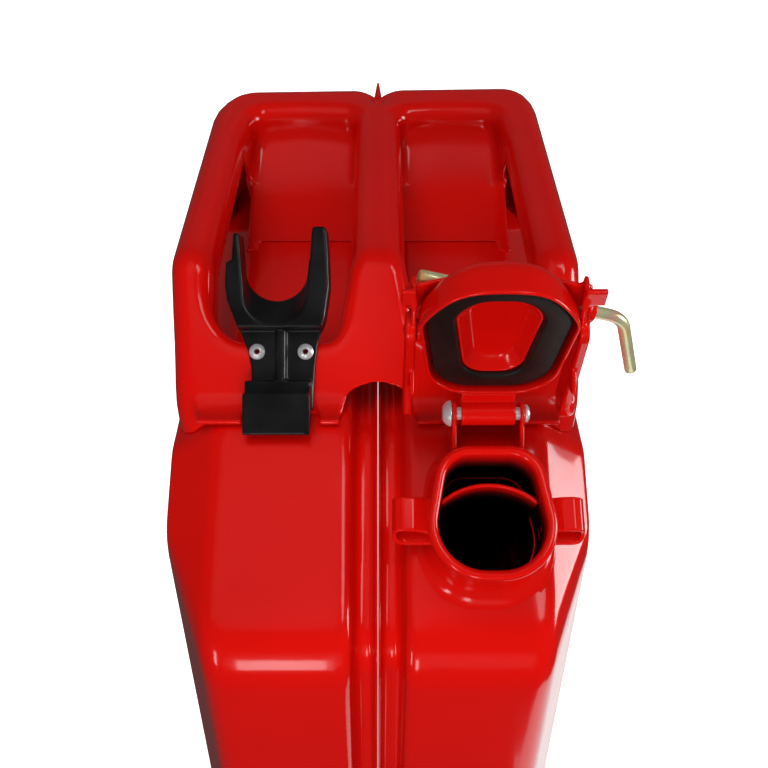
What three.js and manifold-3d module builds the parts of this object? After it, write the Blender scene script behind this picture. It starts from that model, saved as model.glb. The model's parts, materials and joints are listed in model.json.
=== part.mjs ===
// A 20 litre pressed-steel fuel can with a three-bar handle, an offset pouring neck, a hinged cam-lever lid
// and a clip that holds the pouring spout. Millimetres, +Z up, X across the thickness, -Y the spout end.
// The origin is under the middle of the whole object, whose bent lock pin stands out on the right, so the
// can's seam plane lies a little to the left of it.
import * as THREE from "three";
import { mergeVertices } from "three/addons/utils/BufferGeometryUtils.js";
import Module from "manifold-3d";

const wasm = await Module();
wasm.setup();

// ---- driving dimensions ----
const FIT = 0.3; // gap left between touching pieces
const SHEET = 1.2; // body sheet thickness
const ARC_STEPS = 4; // chords in one rounded corner

const LENGTH = 345; // along Y
const THICKNESS = 165; // along X
const SEAM_X = -6.97; // the seam plane, from the middle of the whole object
const BODY_TOP = 424;
const SHOULDER_START = -93.5; // Y where the flat top turns down to the spout end
const SHOULDER_ANGLE = THREE.MathUtils.degToRad(30);
const BOTTOM_RADIUS = 30;
const REAR_TOP_RADIUS = 30;
const SHOULDER_RADIUS = 28;

const BEVEL_START = 62.5; // |X| where the end walls begin to slope back to the large faces
const END_BEVEL_DEPTH = 49.5;
const TOP_BEVEL_DEPTH = 16;
const SHOULDER_BEVEL_DEPTH = 14;
const EDGE_RADIUS = 9;

const SEAM_HALF_WIDTH = 9;
const SEAM_DEPTH = 9;
const FIN_SHEET = 1.2; // one flange of the seam fin
const FIN_RECESS = 1.6; // the fin stops this far below the outer surface
const SEAM_TAB = { from: 116, to: 129, spread: 6, top: 466 }; // end of the seam flange, up through the handle

const CROSS_DEPTH = 3; // the stiffening cross pressed in each large face
const CROSS_WIDTH = 34;
const CROSS_HALF_LENGTH = 160;
const CROSS_ANGLE = Math.atan2(235, 160);
const CROSS_HEIGHT = 200;

const HANDLE_HALF_WIDTH = 81;
const HANDLE_TOP = 470;
const HANDLE_NEAR = -46.8; // Y of the near top corner
const HANDLE_FAR = 118;
const NEAR_LEG_RUN = 42.9; // how far a leg runs out on its way down to the can
const FAR_LEG_RUN = 22;
const HANDLE_CORNER_RADIUS = 14; // seen from the side
const HANDLE_PLAN_RADII = [14, 14, 30, 30];
const HANDLE_SHEET = 1.6;
const BAR_DEPTH = 16;
const CENTRE_BAR = 12; // half width
const SIDE_BAR_INNER = 62; // |X| of the inner edge of a side bar
const WINDOW_NEAR = -64;
const WINDOW_FAR = 88;
const FOOT_NOTCH = { halfWidth: 15, height: 8.8 };
const FOOT_FLANGE = 6.5; // how far the near foot's welding flange reaches
const DIP = { radius: 12, depth: 4 }; // hollow in the far bar at the seam
const TAB_SLOT = 2.4; // half width

const NECK_X = 39.5;
const NECK_Y = -132; // where the neck axis meets the shoulder
const NECK_HEIGHT = 30;
const NECK_CORNERS = [[-26.8, -22], [26.8, -22], [17.6, 25.8], [-17.6, 25.8]];
const NECK_RADII = [20, 20, 13, 13];
const LIP_HEIGHT = 4;
const LIP_OVERHANG = 2.2;
const NECK_SHEET = 1.5;
const FLARE_HEIGHT = 12;
const FLARE_SCALE = [1.28, 1.48];

const EAR = { inner: 16, outer: 34.5, low: 10, high: 20, length: 12.5, centre: 3.5, sheet: 1.8 };
const EAR_GAP = 1.2; // between an ear's inner edge and the neck's wall

const HINGE_Y = 38.6; // pin axis, up the slope from the neck axis
const HINGE_Z = 26.5; // pin axis above the shoulder
const HINGE_PIN_RADIUS = 2.3;
const CHEEK = { inner: 11.4, outer: 12.9, low: 1, front: 24.5, back: 44 };
const PIN_HEAD = { radius: 4, height: 1.6 };
const PIN_UPSET = { radius: 3.3, height: 1.2 };

// An arc of sheet across the neck, its centre in front of the neck's axis.
const BAFFLE = { radius: 26.6, centreY: -12.7, halfAngle: THREE.MathUtils.degToRad(40), low: -12, high: 22 };
const BREATHER = { outer: 4, inner: 3 };

const LID_OPEN_ANGLE = THREE.MathUtils.degToRad(103.5);
const LID_CORNERS = [[-28.7, -65.5], [28.7, -65.5], [21.3, -8.7], [-21.3, -8.7]];
const LID_RADII = [18, 18, 16.5, 16.5];
const LID_LIP = 2.5; // heights above the hinge axis with the lid shut
const LID_TOP = 13.5;
const GASKET_FACE = 4.2;
const GASKET_BACK = 8.2;
const GASKET_OUTER_INSET = 1.7;
const GASKET_WIDTH = 8.5;
const RETAINER_RIM = 6; // the metal dish stands back from the rubber's face
const RETAINER_WALL = 2.5;
const STRAP = { half: 9.75, sheet: 1.5, low: 2.8, roll: 4.3, end: -40 };

const PIVOT_T = 38; // lever pivot, measured from the hinge axis along the lid
const PIVOT_H = 9;
const PIVOT_RADIUS = 2.3;
const STUD_BASE = 26.1; // |X| where the stud stands on the lid
const ARM = { inner: 27, plate: 1.6, outer: 30.4, low: 3, high: 15, rear: -10, front: 44, flange: 1.6 };
const LEVER_WEB = { from: 46, to: 58, low: 14.8, high: 16.6 };
const HOOK_RADIUS = 2.4;
const HOOK_AT = [18.5, -1.7]; // (t, h) of the hook nose on the released lever
const LOBE_RADIUS = 6.5;

const PIN_RADIUS = 2.25;
const PIN_AT = { x: 27.8, t: 35.1, h: 20.6 }; // where the lock pin passes the right lever arm
const PIN_TILT = THREE.MathUtils.degToRad(17.4);
const PIN_INSIDE = 56.6; // shaft length on the lever side of the bush
const PIN_LEG = 27;
const PIN_LEG_ANGLE = THREE.MathUtils.degToRad(56);
const PIN_BEND_REACH = 12.4;
const PIN_BEND = 6; // length of each side of the bend
const BUSH = { from: 2.9, flange: 5.2, flangeHeight: 1.6, boss: 4.3, height: 4 };

const CLIP_X = -37.5;
const CLIP_SHEET = 3;
const CLIP_ROOM = 15; // the foot's flange stops this far to each side of the clip's centre
const FORK = { from: 33, thickness: 10, saddle: 14.3, saddleCentre: 58.8, lean: 1.13 };
const POCKET = { left: -14, right: 11.5 };
const RIB = { half: 2, from: 11, to: 33, height: 5 };
const RIVET_SPACING = 18.8;
const RIVET_V = 24.4; // up the leg from its foot
const RIVET_HOLE_RADIUS = 2;

// ---- colours ----
const paint = { color: 0xd3140c, roughness: 0.18, metalness: 0 };
const plastic = { color: 0x17171a, roughness: 0.5, metalness: 0 };
const rubber = { color: 0x0e0e0f, roughness: 0.6, metalness: 0 };
const steel = { color: 0xb9bcc0, roughness: 0.3, metalness: 1 };
const yellowZinc = { color: 0xc9a94a, roughness: 0.28, metalness: 1 };

// ---- shape helpers ----
const ALONG_X = new THREE.Matrix4().makeBasis(
  new THREE.Vector3(0, 1, 0),
  new THREE.Vector3(0, 0, 1),
  new THREE.Vector3(1, 0, 0),
);
const ALONG_Y = new THREE.Matrix4().makeBasis(
  new THREE.Vector3(1, 0, 0),
  new THREE.Vector3(0, 0, 1),
  new THREE.Vector3(0, -1, 0),
);

function toSolid(geometry) {
  const bare = geometry.index ? geometry.toNonIndexed() : geometry.clone();
  bare.deleteAttribute("normal");
  bare.deleteAttribute("uv");
  const merged = mergeVertices(bare, 1e-3);
  const vertProperties = merged.attributes.position.array;
  const triVerts = new Uint32Array(merged.index.array);
  return new wasm.Manifold(new wasm.Mesh({ numProp: 3, vertProperties, triVerts }));
}

function toMesh(name, solid, finish) {
  const { vertProperties, triVerts } = solid.getMesh();
  const geometry = new THREE.BufferGeometry();
  geometry.setAttribute("position", new THREE.BufferAttribute(new Float32Array(vertProperties), 3));
  geometry.setIndex(new THREE.BufferAttribute(new Uint32Array(triVerts), 1));
  geometry.computeVertexNormals();
  const mesh = new THREE.Mesh(geometry, new THREE.MeshStandardMaterial(finish));
  mesh.name = name;
  return mesh;
}

// The outline of a convex polygon, anticlockwise, moved inwards by inset, with its corners rounded.
function outline(corners, radii, inset = 0, steps = ARC_STEPS) {
  const points = corners.map(([x, y]) => new THREE.Vector2(x, y));
  const count = points.length;
  const rounded = [];
  points.forEach((corner, i) => {
    const arriving = corner.clone().sub(points[(i + count - 1) % count]).normalize();
    const leaving = points[(i + 1) % count].clone().sub(corner).normalize();
    const left = new THREE.Vector2(-arriving.y, arriving.x);
    const right = new THREE.Vector2(-leaving.y, leaving.x);
    const shift = inset / (1 + left.dot(right));
    const moved = corner.clone().addScaledVector(left.clone().add(right), shift);
    const radius = Math.max((Array.isArray(radii) ? radii[i] : radii) - inset, 0.5);
    const turn = Math.acos(THREE.MathUtils.clamp(arriving.dot(leaving), -1, 1));
    const start = moved.clone().addScaledVector(arriving, -radius * Math.tan(turn / 2));
    const centre = start.clone().addScaledVector(left, radius);
    const first = Math.atan2(-left.y, -left.x);
    for (let step = 0; step <= steps; step++) {
      const angle = first + (turn * step) / steps;
      rounded.push(new THREE.Vector2(Math.cos(angle), Math.sin(angle)).multiplyScalar(radius).add(centre));
    }
  });
  return rounded;
}

function extrude(points, depth) {
  return new THREE.ExtrudeGeometry(new THREE.Shape(points), { depth, bevelEnabled: false });
}

function pairs(list) {
  return list.map(([x, y]) => new THREE.Vector2(x, y));
}

// Prisms: the outline is given as (Y, Z), (X, Z) or (X, Y) points.
function prismX(points, x0, x1) {
  return toSolid(extrude(points, x1 - x0).applyMatrix4(ALONG_X).translate(x0, 0, 0));
}

function prismY(points, y0, y1) {
  return toSolid(extrude(points, y1 - y0).applyMatrix4(ALONG_Y).translate(0, y1, 0));
}

function prismZ(points, z0, z1) {
  return toSolid(extrude(points, z1 - z0).translate(0, 0, z0));
}

function box(x0, x1, y0, y1, z0, z1) {
  const geometry = new THREE.BoxGeometry(x1 - x0, y1 - y0, z1 - z0);
  return toSolid(geometry.translate((x0 + x1) / 2, (y0 + y1) / 2, (z0 + z1) / 2));
}

function rodX(radius, x0, x1, y, z, sides = 20) {
  const geometry = new THREE.CylinderGeometry(radius, radius, x1 - x0, sides).rotateZ(Math.PI / 2);
  return toSolid(geometry.translate((x0 + x1) / 2, y, z));
}

function rodZ(radius, z0, z1, x, y, sides = 20) {
  const geometry = new THREE.CylinderGeometry(radius, radius, z1 - z0, sides).rotateX(Math.PI / 2);
  return toSolid(geometry.translate(x, y, (z0 + z1) / 2));
}

// A prism whose top is its base outline scaled about the axis.
function taperedPrism(points, z0, z1, scaleX, scaleY) {
  const geometry = extrude(points, z1 - z0);
  const position = geometry.attributes.position;
  for (let i = 0; i < position.count; i++) {
    const rise = position.getZ(i) / (z1 - z0);
    position.setX(i, position.getX(i) * (1 + (scaleX - 1) * rise));
    position.setY(i, position.getY(i) * (1 + (scaleY - 1) * rise));
  }
  return toSolid(geometry.translate(0, 0, z0));
}

// ---- body ----
const HALF_LENGTH = LENGTH / 2;
const HALF_THICKNESS = THICKNESS / 2;
const SHOULDER_END = BODY_TOP - (HALF_LENGTH + SHOULDER_START) * Math.tan(SHOULDER_ANGLE);
const FAR_BELOW = -2 * LENGTH;

// The closed outer form of the can, moved inwards by inset on every side.
function bodyForm(inset) {
  const side = outline(
    [
      [-HALF_LENGTH, 0],
      [HALF_LENGTH, 0],
      [HALF_LENGTH, BODY_TOP],
      [SHOULDER_START, BODY_TOP],
      [-HALF_LENGTH, SHOULDER_END],
    ],
    [BOTTOM_RADIUS, BOTTOM_RADIUS, REAR_TOP_RADIUS, SHOULDER_RADIUS, SHOULDER_RADIUS],
    inset,
  );
  const bevelled = (low, high, depth) => [
    [-BEVEL_START, low],
    [BEVEL_START, low],
    [HALF_THICKNESS, low + depth],
    [HALF_THICKNESS, high - depth],
    [BEVEL_START, high],
    [-BEVEL_START, high],
    [-HALF_THICKNESS, high - depth],
    [-HALF_THICKNESS, low + depth],
  ];
  const plan = outline(bevelled(-HALF_LENGTH, HALF_LENGTH, END_BEVEL_DEPTH), EDGE_RADIUS, inset, 2);
  const front = outline(bevelled(0, BODY_TOP, TOP_BEVEL_DEPTH), EDGE_RADIUS, inset, 2);
  const slope = outline(bevelled(FAR_BELOW, 0, SHOULDER_BEVEL_DEPTH), EDGE_RADIUS, inset, 2);
  const shoulder = extrude(slope, 2 * LENGTH)
    .applyMatrix4(ALONG_Y)
    .translate(0, LENGTH, 0)
    .rotateX(SHOULDER_ANGLE)
    .translate(0, SHOULDER_START, BODY_TOP);
  return prismX(side, -HALF_THICKNESS + inset, HALF_THICKNESS - inset)
    .intersect(prismZ(plan, -1, BODY_TOP + 1))
    .intersect(prismY(front, -LENGTH, LENGTH))
    .intersect(toSolid(shoulder));
}

// Everything near the seam plane that lies outside the channel floor.
function seamChannel(halfWidth, depth) {
  const slab = box(-halfWidth, halfWidth, -LENGTH, LENGTH, -1, BODY_TOP + 1);
  return slab.subtract(bodyForm(depth));
}

// The two crossing bars of the stiffening press on both large faces.
function crossPress(depth, grow) {
  let bars = null;
  for (const side of [-1, 1]) {
    for (const lean of [-1, 1]) {
      const width = CROSS_WIDTH + 2 * grow;
      const geometry = new THREE.BoxGeometry(2 * depth, width, 2 * (CROSS_HALF_LENGTH + grow));
      geometry.rotateX(lean * (Math.PI / 2 - CROSS_ANGLE)).translate(side * HALF_THICKNESS, 0, CROSS_HEIGHT);
      const bar = toSolid(geometry);
      bars = bars ? bars.add(bar) : bar;
    }
  }
  return bars;
}

function bodyShell() {
  const outer = bodyForm(0)
    .subtract(seamChannel(SEAM_HALF_WIDTH, SEAM_DEPTH))
    .subtract(crossPress(CROSS_DEPTH, 0));
  const cavity = bodyForm(SHEET)
    .subtract(seamChannel(SEAM_HALF_WIDTH + SHEET, SEAM_DEPTH + SHEET))
    .subtract(crossPress(CROSS_DEPTH + SHEET, SHEET));
  return outer.subtract(cavity);
}

function bodyHalf(shell, side) {
  const near = FIT / 2;
  const slab = (from, to) => {
    const x = [side * from, side * to].sort((a, b) => a - b);
    return box(x[0], x[1], -LENGTH, LENGTH, -1, HANDLE_TOP);
  };
  const flange = slab(near, near + FIN_SHEET);
  const fin = bodyForm(FIN_RECESS).subtract(bodyForm(SEAM_DEPTH + SHEET / 2)).intersect(flange);
  const tabOutline = pairs([
    [SEAM_TAB.from - SEAM_TAB.spread, BODY_TOP - SEAM_DEPTH],
    [SEAM_TAB.to + SEAM_TAB.spread, BODY_TOP - SEAM_DEPTH],
    [SEAM_TAB.to, SEAM_TAB.top],
    [SEAM_TAB.from, SEAM_TAB.top],
  ]);
  const tab = prismX(tabOutline, -HALF_THICKNESS, HALF_THICKNESS).intersect(flange);
  return shell.intersect(slab(near, THICKNESS)).add(fin).add(tab);
}

// ---- handle ----
// A prism across the can of the handle's side view, moved inwards by inset and running down to floor.
function handleForm(inset, halfWidth, floor) {
  const foot = floor - inset;
  const reach = (HANDLE_TOP - foot) / (HANDLE_TOP - BODY_TOP);
  const side = outline(
    [
      [HANDLE_NEAR - NEAR_LEG_RUN * reach, foot],
      [HANDLE_FAR + FAR_LEG_RUN * reach, foot],
      [HANDLE_FAR, HANDLE_TOP],
      [HANDLE_NEAR, HANDLE_TOP],
    ],
    [0.5, 0.5, HANDLE_CORNER_RADIUS, HANDLE_CORNER_RADIUS],
    inset,
  );
  return prismX(side, -halfWidth, halfWidth);
}

function handle() {
  const floor = BODY_TOP + FIT;
  const below = floor - 10;
  const near = HANDLE_NEAR - NEAR_LEG_RUN;
  const far = HANDLE_FAR + FAR_LEG_RUN;
  const half = HANDLE_HALF_WIDTH;
  const sheet = HANDLE_SHEET;
  const corners = [[-half, near], [half, near], [half, far], [-half, far]];
  let pressing = handleForm(0, half, below);
  pressing = pressing.intersect(prismZ(outline(corners, HANDLE_PLAN_RADII), floor, HANDLE_TOP + 1));
  pressing = pressing.subtract(handleForm(BAR_DEPTH, half + 1, below));
  const planInside = prismZ(outline(corners, HANDLE_PLAN_RADII, sheet), below, HANDLE_TOP);
  const hollow = handleForm(sheet, half - sheet, below).intersect(planInside);
  const inside = [
    [-CENTRE_BAR + sheet, CENTRE_BAR - sheet, near, far],
    [SIDE_BAR_INNER + sheet, half, near, far],
    [-half, -SIDE_BAR_INNER - sheet, near, far],
    [-half, half, near, WINDOW_NEAR - sheet],
    [-half, half, WINDOW_FAR + sheet, far],
  ];
  for (const [x0, x1, y0, y1] of inside) {
    pressing = pressing.subtract(hollow.intersect(box(x0, x1, y0, y1, below, HANDLE_TOP)));
  }
  const bracketRoom = CHEEK.outer + 1;
  const flangeSpans = [
    [8 - half, CLIP_X - CLIP_ROOM],
    [CLIP_X + CLIP_ROOM, NECK_X - bracketRoom],
    [NECK_X + bracketRoom, half - 8],
  ];
  for (const [x0, x1] of flangeSpans) {
    pressing = pressing.add(box(x0, x1, near - FOOT_FLANGE, near + 3, floor, floor + sheet));
  }
  for (const side of [-1, 1]) {
    const edges = [side * CENTRE_BAR, side * SIDE_BAR_INNER].sort((a, b) => a - b);
    const window = outline(
      [[edges[0], WINDOW_NEAR], [edges[1], WINDOW_NEAR], [edges[1], WINDOW_FAR], [edges[0], WINDOW_FAR]],
      8,
    );
    pressing = pressing.subtract(prismZ(window, below, HANDLE_TOP + 1));
    const rivetHole = rodZ(RIVET_HOLE_RADIUS, -4, 4, CLIP_X + (side * RIVET_SPACING) / 2, RIVET_V);
    pressing = pressing.subtract(onLeg(rivetHole));
  }
  const footNotch = new THREE.CylinderGeometry(FOOT_NOTCH.halfWidth, FOOT_NOTCH.halfWidth, 60, 20);
  footNotch.scale(1, 1, FOOT_NOTCH.height / FOOT_NOTCH.halfWidth).translate(0, near, BODY_TOP);
  const dip = new THREE.CylinderGeometry(DIP.radius, DIP.radius, 60, 20);
  dip.translate(0, HANDLE_FAR + 20, HANDLE_TOP + DIP.radius - DIP.depth);
  const slot = box(-TAB_SLOT, TAB_SLOT, SEAM_TAB.from - SEAM_TAB.spread - 2, far + 1, below, HANDLE_TOP + 1);
  return pressing.subtract(toSolid(footNotch)).subtract(toSolid(dip)).subtract(slot);
}

// ---- near leg of the handle: the clip and its rivets lie in this frame ----
const LEG_ANGLE = Math.atan2(HANDLE_TOP - BODY_TOP, NEAR_LEG_RUN);
const legFrame = new THREE.Matrix4()
  .makeTranslation(0, HANDLE_NEAR - NEAR_LEG_RUN, BODY_TOP)
  .multiply(new THREE.Matrix4().makeRotationX(LEG_ANGLE));

function onLeg(solid) {
  return solid.transform(legFrame.elements);
}

function spoutClip() {
  // The moulding seen from the front: foot, right side up to its horn, then the left horn and side.
  const body = pairs([
    [-11.5, 2], [12.5, 2], [13, 18], [14.8, 28], [17.6, 37], [19.3, 49],
    [19.3, 57], [18.6, 71], [14.3, 71], [14.3, 50],
    [-14.7, 50], [-14.7, 68], [-18.8, 68], [-20.6, 57],
    [-21.4, 50], [-21, 44], [-12.7, 22], [-11.7, 18],
  ]);
  const plate = prismZ(body, FIT, FIT + CLIP_SHEET);
  const upper = box(-2 * FORK.saddle, 2 * FORK.saddle, FORK.from, 80, 0, FORK.thickness + 1);
  const fork = prismZ(body, FIT, FORK.thickness).intersect(upper);
  const r = FORK.saddle;
  const arch = outline([[-r, -r], [r, -r], [r, 40], [-r, 40]], [r, r, 1, 1], 0, 6);
  const saddle = extrude(arch, 2 * FORK.thickness);
  // The saddle leans, so that its front edge lies lower than its back edge.
  const shear = new THREE.Matrix4().makeShear(0, 0, 0, 0, 0, -FORK.lean);
  shear.premultiply(new THREE.Matrix4().makeTranslation(0, FORK.saddleCentre, -2));
  const rib = box(-RIB.half, RIB.half, RIB.from, RIB.to, 1, RIB.height);
  // The pocket at the foot seen from the side: back panel, floor and front panel.
  const pocketSide = pairs([
    [1, 0.6], [4, 0.6], [4, 3.3], [13, 3.3], [13, 6], [-1.5, 6],
    [-1.5, 9], [8, 9], [8, 12], [-8, 12], [-8, 9.5], [-6, 8], [-3.5, 5],
  ]);
  const pocket = prismX(pocketSide, POCKET.left, POCKET.right);
  let clip = plate.add(fork).add(rib).add(pocket).subtract(toSolid(saddle.applyMatrix4(shear)));
  for (const side of [-1, 1]) {
    clip = clip.subtract(rodZ(RIVET_HOLE_RADIUS, -1, 13, (side * RIVET_SPACING) / 2, RIVET_V));
  }
  return clip;
}

function blindRivet() {
  const face = FIT + CLIP_SHEET + FIT;
  const profile = pairs([
    [0, -6],
    [2.6, -5],
    [2.6, -HANDLE_SHEET - FIT],
    [1.7, -HANDLE_SHEET - FIT],
    [1.7, face],
    [3.1, face],
    [3.1, face + 0.6],
    [1.2, face + 1.2],
    [1.2, face - 1],
    [0, face - 1],
  ]);
  return toSolid(new THREE.LatheGeometry(profile, 16).rotateX(Math.PI / 2));
}

// ---- neck: its frame has +Z along the spout and +Y up the slope ----
function neckOutline(inset, steps = ARC_STEPS) {
  return outline(NECK_CORNERS, NECK_RADII, inset, steps);
}

function neck() {
  const wall = LIP_OVERHANG + NECK_SHEET;
  const flare = (inset, low, high) => {
    const points = neckOutline(inset).map((p) => new THREE.Vector2(p.x * FLARE_SCALE[0], p.y * FLARE_SCALE[1]));
    return taperedPrism(points, low, high, 1 / FLARE_SCALE[0], 1 / FLARE_SCALE[1]);
  };
  return prismZ(neckOutline(0), NECK_HEIGHT - LIP_HEIGHT, NECK_HEIGHT)
    .add(prismZ(neckOutline(LIP_OVERHANG), FIT, NECK_HEIGHT - 1))
    .add(flare(LIP_OVERHANG, FIT, FLARE_HEIGHT))
    .subtract(prismZ(neckOutline(wall), -1, NECK_HEIGHT + 1))
    .subtract(flare(wall, FIT - 0.5, FLARE_HEIGHT - 1.5));
}

function ventBaffle() {
  const { radius, centreY, halfAngle, low, high } = BAFFLE;
  const arc = (r, from, to) =>
    Array.from({ length: 13 }, (_, i) => from + ((to - from) * i) / 12).map(
      (angle) => new THREE.Vector2(r * Math.cos(angle), centreY + r * Math.sin(angle)),
    );
  const start = Math.PI / 2 - halfAngle;
  const end = Math.PI / 2 + halfAngle;
  return prismZ([...arc(radius, start, end), ...arc(radius - SHEET, end, start)], low, high);
}

function earLoop(side) {
  const { inner, outer, low, high, length, centre, sheet } = EAR;
  const mirrored = (list) => pairs(list.map(([x, z]) => [side * x, z]));
  const loop = prismY(mirrored([[inner, low], [outer, low], [outer, high], [inner, high]]), 0, length);
  const gap = prismY(
    mirrored([
      [inner - 1, low + sheet],
      [outer - sheet, low + sheet],
      [outer - sheet, high - sheet],
      [inner - 1, high - sheet],
    ]),
    -1,
    length + 1,
  );
  const neckSide = prismZ(neckOutline(LIP_OVERHANG - EAR_GAP), low - 1, high + 1);
  return loop.subtract(gap).translate([0, centre - length / 2, 0]).subtract(neckSide);
}

function hingeBracket() {
  const { inner, outer, low, front, back } = CHEEK;
  const cheek = pairs([
    [front, low],
    [back, low],
    [HINGE_Y + 4.5, HINGE_Z],
    [HINGE_Y + 2.5, HINGE_Z + 4],
    [HINGE_Y - 2.5, HINGE_Z + 4],
    [HINGE_Y - 5, HINGE_Z + 1],
    [front + 2.2, HINGE_Z - 2],
    [front, HINGE_Z - 4],
  ]);
  const flareEnd = (NECK_CORNERS[2][1] - LIP_OVERHANG) * FLARE_SCALE[1] + FIT;
  return prismX(cheek, -outer, -inner)
    .add(prismX(cheek, inner, outer))
    .add(box(-inner - 0.5, inner + 0.5, front, front + 1.5, FLARE_HEIGHT, HINGE_Z - 6))
    .subtract(box(-outer - 1, outer + 1, 0, flareEnd, -1, FLARE_HEIGHT))
    .subtract(rodX(HINGE_PIN_RADIUS + FIT, -outer - 1, outer + 1, HINGE_Y, HINGE_Z));
}

function hingePin() {
  const headFace = CHEEK.outer + FIT;
  const head = rodX(PIN_HEAD.radius, -headFace - PIN_HEAD.height, -headFace, HINGE_Y, HINGE_Z);
  const upset = rodX(PIN_UPSET.radius, headFace, headFace + PIN_UPSET.height, HINGE_Y, HINGE_Z);
  return rodX(HINGE_PIN_RADIUS, -headFace - 0.5, headFace + 0.5, HINGE_Y, HINGE_Z).add(head).add(upset);
}

// From inside the neck, behind the baffle, down and back up to the air space under the can's top.
function breatherTube() {
  const path = new THREE.CatmullRomCurve3([
    new THREE.Vector3(0, 18.4, -3),
    new THREE.Vector3(0, 18.6, -12),
    new THREE.Vector3(0, 26, -20),
    new THREE.Vector3(0, 42, -22),
    new THREE.Vector3(0, 60, -19),
  ]);
  const shape = new THREE.Shape().absarc(0, 0, BREATHER.outer, 0, 2 * Math.PI);
  shape.holes.push(new THREE.Path().absarc(0, 0, BREATHER.inner, 0, 2 * Math.PI, true));
  return toSolid(new THREE.ExtrudeGeometry(shape, { steps: 16, curveSegments: 6, extrudePath: path }));
}

// ---- lid: its frame has the hinge axis as origin, in the shut position ----
function lidOutline(inset) {
  return outline(LID_CORNERS, LID_RADII, inset, 5);
}

function lidShell() {
  const skirt = prismZ(lidOutline(0), LID_LIP, LID_TOP - 2);
  const crown = new THREE.Vector2(0, (LID_CORNERS[0][1] + LID_CORNERS[2][1]) / 2);
  const centred = lidOutline(0).map((p) => p.clone().sub(crown));
  const top = taperedPrism(centred, LID_TOP - 2, LID_TOP, 0.93, 0.93).translate([0, crown.y, 0]);
  return skirt.add(top).subtract(prismZ(lidOutline(SHEET), LID_LIP - 1, LID_TOP - SHEET - 1));
}

function lidStrap() {
  const { half, sheet, low, roll, end } = STRAP;
  const skirtSide = LID_CORNERS[2][1] + FIT;
  const top = LID_TOP + FIT;
  const strip = (y0, y1, z0, z1) => box(-half, half, y0, y1, z0, z1);
  return rodX(roll, -half, half, 0, 0)
    .add(strip(skirtSide, 0, low, low + sheet))
    .add(strip(skirtSide, skirtSide + sheet, low, top + sheet))
    .add(strip(end, skirtSide + sheet, top, top + sheet))
    .subtract(rodX(HINGE_PIN_RADIUS + FIT, -half - 1, half + 1, 0, 0));
}

function gasket() {
  const inner = lidOutline(GASKET_OUTER_INSET + GASKET_WIDTH);
  return prismZ(lidOutline(GASKET_OUTER_INSET), GASKET_FACE, GASKET_BACK).subtract(
    prismZ(inner, GASKET_FACE - 1, GASKET_BACK + 1),
  );
}

function gasketRetainer() {
  const edge = GASKET_OUTER_INSET + GASKET_WIDTH + FIT;
  const back = LID_TOP - SHEET - 1 - FIT;
  const flange = prismZ(lidOutline(GASKET_OUTER_INSET + 1), GASKET_BACK + FIT, GASKET_BACK + FIT + 1);
  const cup = prismZ(lidOutline(edge), RETAINER_RIM, back);
  const recess = prismZ(lidOutline(edge + RETAINER_WALL), RETAINER_RIM - 1, back - 1);
  return flange.add(cup).subtract(recess);
}

// ---- lever: same frame as the lid, in the released position ----
function leverArm(side) {
  const { inner, plate, outer, low, high, rear, front, flange } = ARM;
  const [hookT, hookH] = HOOK_AT;
  const at = (t, h) => [-t, h];
  const part = (list, from, to) => {
    const [x0, x1] = [side * from, side * to].sort((a, b) => a - b);
    return prismX(pairs(list), x0, x1);
  };
  const rod = (radius, from, to, t, h) => {
    const [x0, x1] = [side * from, side * to].sort((a, b) => a - b);
    return rodX(radius, x0, x1, -t, h);
  };
  const bar = (inset) => {
    const corners = [at(front, low), at(rear, low), at(rear, high), at(front, high)];
    return outline(corners, 5.9, inset, 5).map((p) => [p.x, p.y]);
  };
  const web = LEVER_WEB;
  const cover = [at(36, low), at(36, web.high), at(web.to, web.high), at(web.to, 7)];
  const tab = [at(50, 9), at(50, 10.8), at(web.to, 10.8), at(web.to, 9)];
  const hookStem = [at(13, 5), at(24, 5), at(hookT + HOOK_RADIUS, hookH), at(hookT - HOOK_RADIUS, hookH)];
  const lobeRoot = [at(25, 13), at(43, 13), at(40, PIN_AT.h), at(30, PIN_AT.h)];
  let arm = part(bar(0), inner, outer)
    .subtract(part(bar(flange), inner + plate, outer + 1))
    .add(part(cover.reverse(), inner, inner + plate))
    .add(part(tab.reverse(), inner, outer + 1.4))
    .add(part(hookStem, inner, inner + plate))
    .add(rod(HOOK_RADIUS, inner, inner + plate, hookT, hookH));
  if (side > 0) {
    const lobe = rod(LOBE_RADIUS, inner, inner + plate, PIN_AT.t, PIN_AT.h);
    arm = arm.add(part(lobeRoot, inner, inner + plate)).add(lobe);
  }
  return arm
    .subtract(rod(PIVOT_RADIUS + FIT, inner - 1, outer + 1, PIVOT_T, PIVOT_H))
    .subtract(rod(PIN_RADIUS + 1.4, inner - 1, outer + 1, PIN_AT.t, PIN_AT.h));
}

function clampLever() {
  const { from, to, low, high } = LEVER_WEB;
  const web = box(-ARM.inner - 0.5, ARM.inner + 0.5, -to, -from, low, high);
  return leverArm(-1).add(leverArm(1)).add(web);
}

function leverPivot(side) {
  const collar = 4;
  const plateBack = ARM.inner + ARM.plate + FIT;
  const profile = pairs([
    [0, STUD_BASE],
    [collar, STUD_BASE],
    [collar, ARM.inner - FIT],
    [PIVOT_RADIUS, ARM.inner - FIT],
    [PIVOT_RADIUS, plateBack],
    [collar - 0.2, plateBack],
    [collar - 0.8, ARM.outer - 0.3],
    [0, ARM.outer],
  ]);
  const geometry = new THREE.LatheGeometry(profile, 20).rotateZ(-Math.PI / 2);
  if (side < 0) geometry.rotateZ(Math.PI);
  return toSolid(geometry.translate(0, -PIVOT_T, PIVOT_H));
}

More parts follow.
